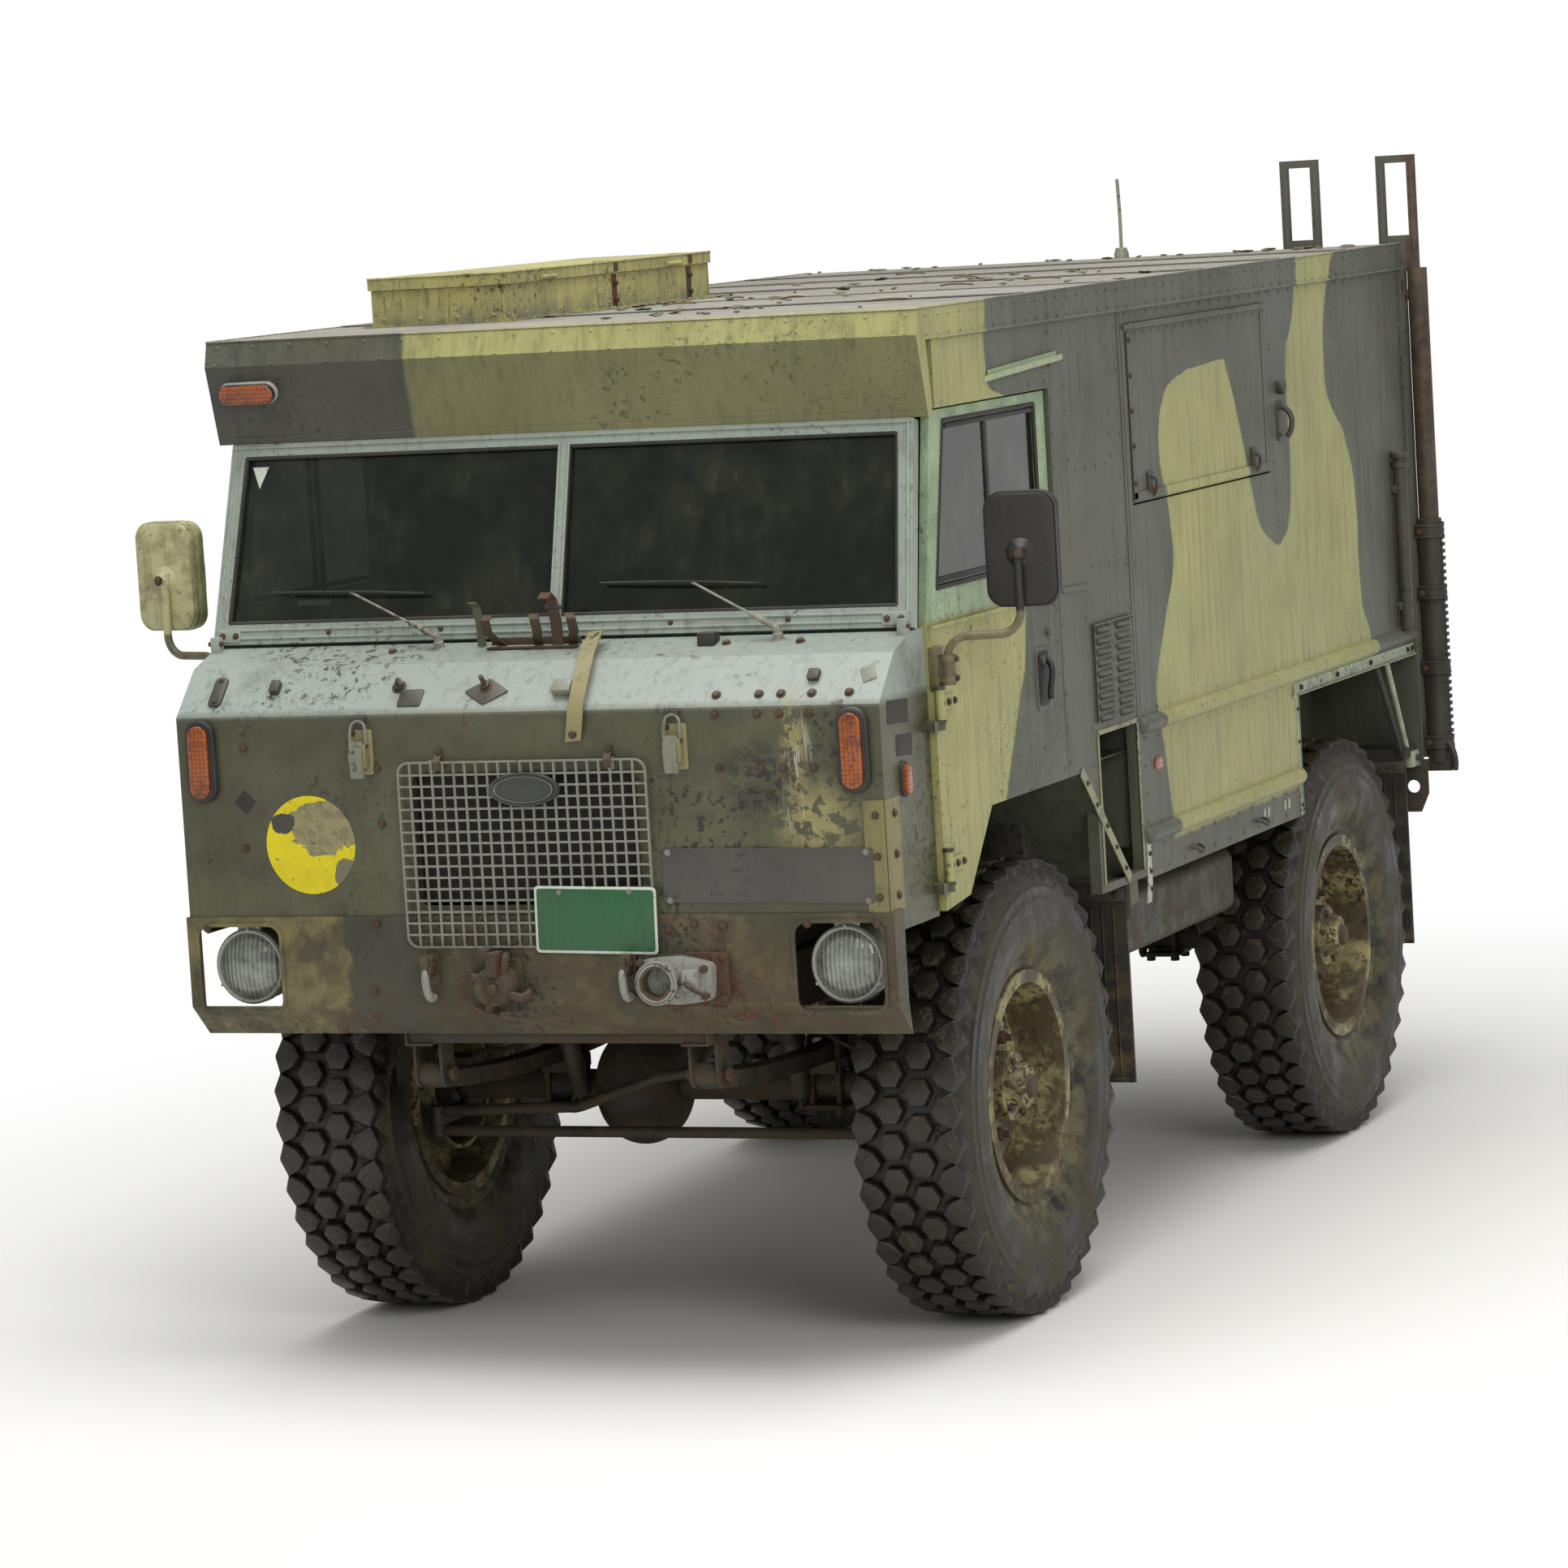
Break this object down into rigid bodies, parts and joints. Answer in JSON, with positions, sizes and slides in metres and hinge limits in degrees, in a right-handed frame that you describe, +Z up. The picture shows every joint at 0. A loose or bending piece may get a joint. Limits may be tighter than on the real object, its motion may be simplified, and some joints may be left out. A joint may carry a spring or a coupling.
{
  "type": "forward-control military box truck",
  "caption": "Unarmed forward-control 4x4 army truck with a hard box body, oversize off-road tyres, camouflage paint, opening doors, shutter and roof box, and working steering.",
  "frame": {"origin": "on the ground, under the middle of the whole truck", "axes": "+Z up; -Y is the way the truck drives; +X is the truck's left side"},
  "size_m": [2.416, 4.384, 2.7363],
  "materials": {
    "frame_black": "matt black paint under dried mud",
    "engine_grey": "oily casting",
    "body_olive": "matt dark grey-green paint with tan camouflage, chipped",
    "body_tan": "matt tan paint with rust streaks",
    "roof_grey": "weathered matt paint",
    "bumper_olive": "matt paint with rust",
    "frame_aluminium": "dull bare metal",
    "window_glass": "clear glass with dust",
    "lamp_glass": "ribbed clear and amber lenses",
    "wire_grey": "galvanised wire",
    "dash_black": "black plastic",
    "seat_cloth": "dark vinyl cloth",
    "flap_rubber": "muddy rubber sheet",
    "ladder_rust": "dark paint going to rust",
    "wheel_tan": "tan paint under mud",
    "tyre_black": "worn rubber with mud"
  },
  "bodies": {
    "truck": {"chassis_frame": "frame_black", "suspension": "frame_black", "front_axle": "frame_black", "rear_axle": "frame_black", "powertrain": "engine_grey", "propshafts": "frame_black", "fuel_tanks": "body_olive", "bumper": "bumper_olive", "lamps": "lamp_glass", "nose_panel": "body_olive", "grille": "wire_grey", "windscreen_frame": "frame_aluminium", "windscreen_glass": "window_glass", "roof": "roof_grey", "roof_box": "body_tan", "cab_floor": "body_olive", "dashboard": "dash_black", "seat_pans": "frame_black", "seat_pads": "seat_cloth", "cab_side_panels": "body_olive", "box_floor": "body_olive", "box_bulkhead": "body_olive", "box_side_left": "body_olive", "box_side_right": "body_olive", "box_rear_frame": "body_olive", "rear_ladder": "ladder_rust", "tow_jaw": "frame_black", "mud_flaps": "flap_rubber", "engine_cover": "body_olive", "front_arches": "frame_black"},
    "door_left": {"door_left": "body_olive", "door_glass_left": "window_glass", "mirror_left": "dash_black"},
    "door_right": {"door_right": "body_olive", "door_glass_right": "window_glass", "mirror_right": "dash_black"},
    "roof_box_lid": {"roof_box_lid": "body_tan"},
    "side_shutter": {"side_shutter": "body_olive"},
    "rear_door": {"rear_door": "body_olive"},
    "steering_wheel": {"steering_wheel": "dash_black"},
    "knuckle_left": {"knuckle_left": "frame_black"},
    "knuckle_right": {"knuckle_right": "frame_black"},
    "track_rod": {"track_rod": "frame_black", "drag_link": "frame_black"},
    "road_wheel_front_left": {"wheel_front_left": "wheel_tan", "tyre_front_left": "tyre_black"},
    "road_wheel_front_right": {"wheel_front_right": "wheel_tan", "tyre_front_right": "tyre_black"},
    "road_wheel_rear_left": {"wheel_rear_left": "wheel_tan", "tyre_rear_left": "tyre_black"},
    "road_wheel_rear_right": {"wheel_rear_right": "wheel_tan", "tyre_rear_right": "tyre_black"}
  },
  "joints": [
    {"name": "door_left_hinge", "type": "hinge", "parent": "truck", "child": "door_left", "pos_m": [0.937, -1.8, 1.37], "axis": [0, 0, -1], "range_deg": [0, 75]},
    {"name": "door_right_hinge", "type": "hinge", "parent": "truck", "child": "door_right", "pos_m": [-0.937, -1.8, 1.37], "axis": [0, 0, 1], "range_deg": [0, 75]},
    {"name": "roof_box_lid_hinge", "type": "hinge", "parent": "truck", "child": "roof_box_lid", "pos_m": [-0.363, -0.605, 2.5326], "axis": [0, 1, 0], "range_deg": [0, 80]},
    {"name": "side_shutter_hinge", "type": "hinge", "parent": "truck", "child": "side_shutter", "pos_m": [0.929, 0.2325, 2.364], "axis": [0, -1, 0], "range_deg": [0, 90]},
    {"name": "rear_door_hinge", "type": "hinge", "parent": "truck", "child": "rear_door", "pos_m": [-0.45, 2.114, 1.7], "axis": [0, 0, 1], "range_deg": [0, 110]},
    {"name": "steer_left", "type": "hinge", "parent": "truck", "child": "knuckle_left", "pos_m": [0.632, -1.2, 0.56], "axis": [0, 0, 1], "range_deg": [-25, 25]},
    {"name": "steer_right", "type": "hinge", "parent": "truck", "child": "knuckle_right", "pos_m": [-0.632, -1.2, 0.56], "axis": [0, 0, 1], "range_deg": [-25, 25]},
    {"name": "track_rod_left_pivot", "type": "hinge", "parent": "knuckle_left", "child": "track_rod", "pos_m": [0.632, -1.4, 0.47], "axis": [0, 0, 1], "range_deg": [-25, 25]},
    {"name": "steering_wheel_spin", "type": "hinge", "parent": "truck", "child": "steering_wheel", "pos_m": [-0.48, -1.6, 1.69], "axis": [0, 0.5299, 0.848], "range_deg": [-300, 300]},
    {"name": "wheel_front_left_spin", "type": "hinge", "parent": "knuckle_left", "child": "road_wheel_front_left", "pos_m": [0.767, -1.2, 0.56], "axis": [1, 0, 0], "continuous": true},
    {"name": "wheel_front_right_spin", "type": "hinge", "parent": "knuckle_right", "child": "road_wheel_front_right", "pos_m": [-0.767, -1.2, 0.56], "axis": [1, 0, 0], "continuous": true},
    {"name": "wheel_rear_left_spin", "type": "hinge", "parent": "truck", "child": "road_wheel_rear_left", "pos_m": [0.767, 1.365, 0.56], "axis": [1, 0, 0], "continuous": true},
    {"name": "wheel_rear_right_spin", "type": "hinge", "parent": "truck", "child": "road_wheel_rear_right", "pos_m": [-0.767, 1.365, 0.56], "axis": [1, 0, 0], "continuous": true}
  ],
  "couplings": [
    {"joint": "steer_right", "follows": "steer_left", "ratio": 1},
    {"joint": "track_rod_left_pivot", "follows": "steer_left", "ratio": -1},
    {"joint": "steering_wheel_spin", "follows": "steer_left", "ratio": 12}
  ]
}
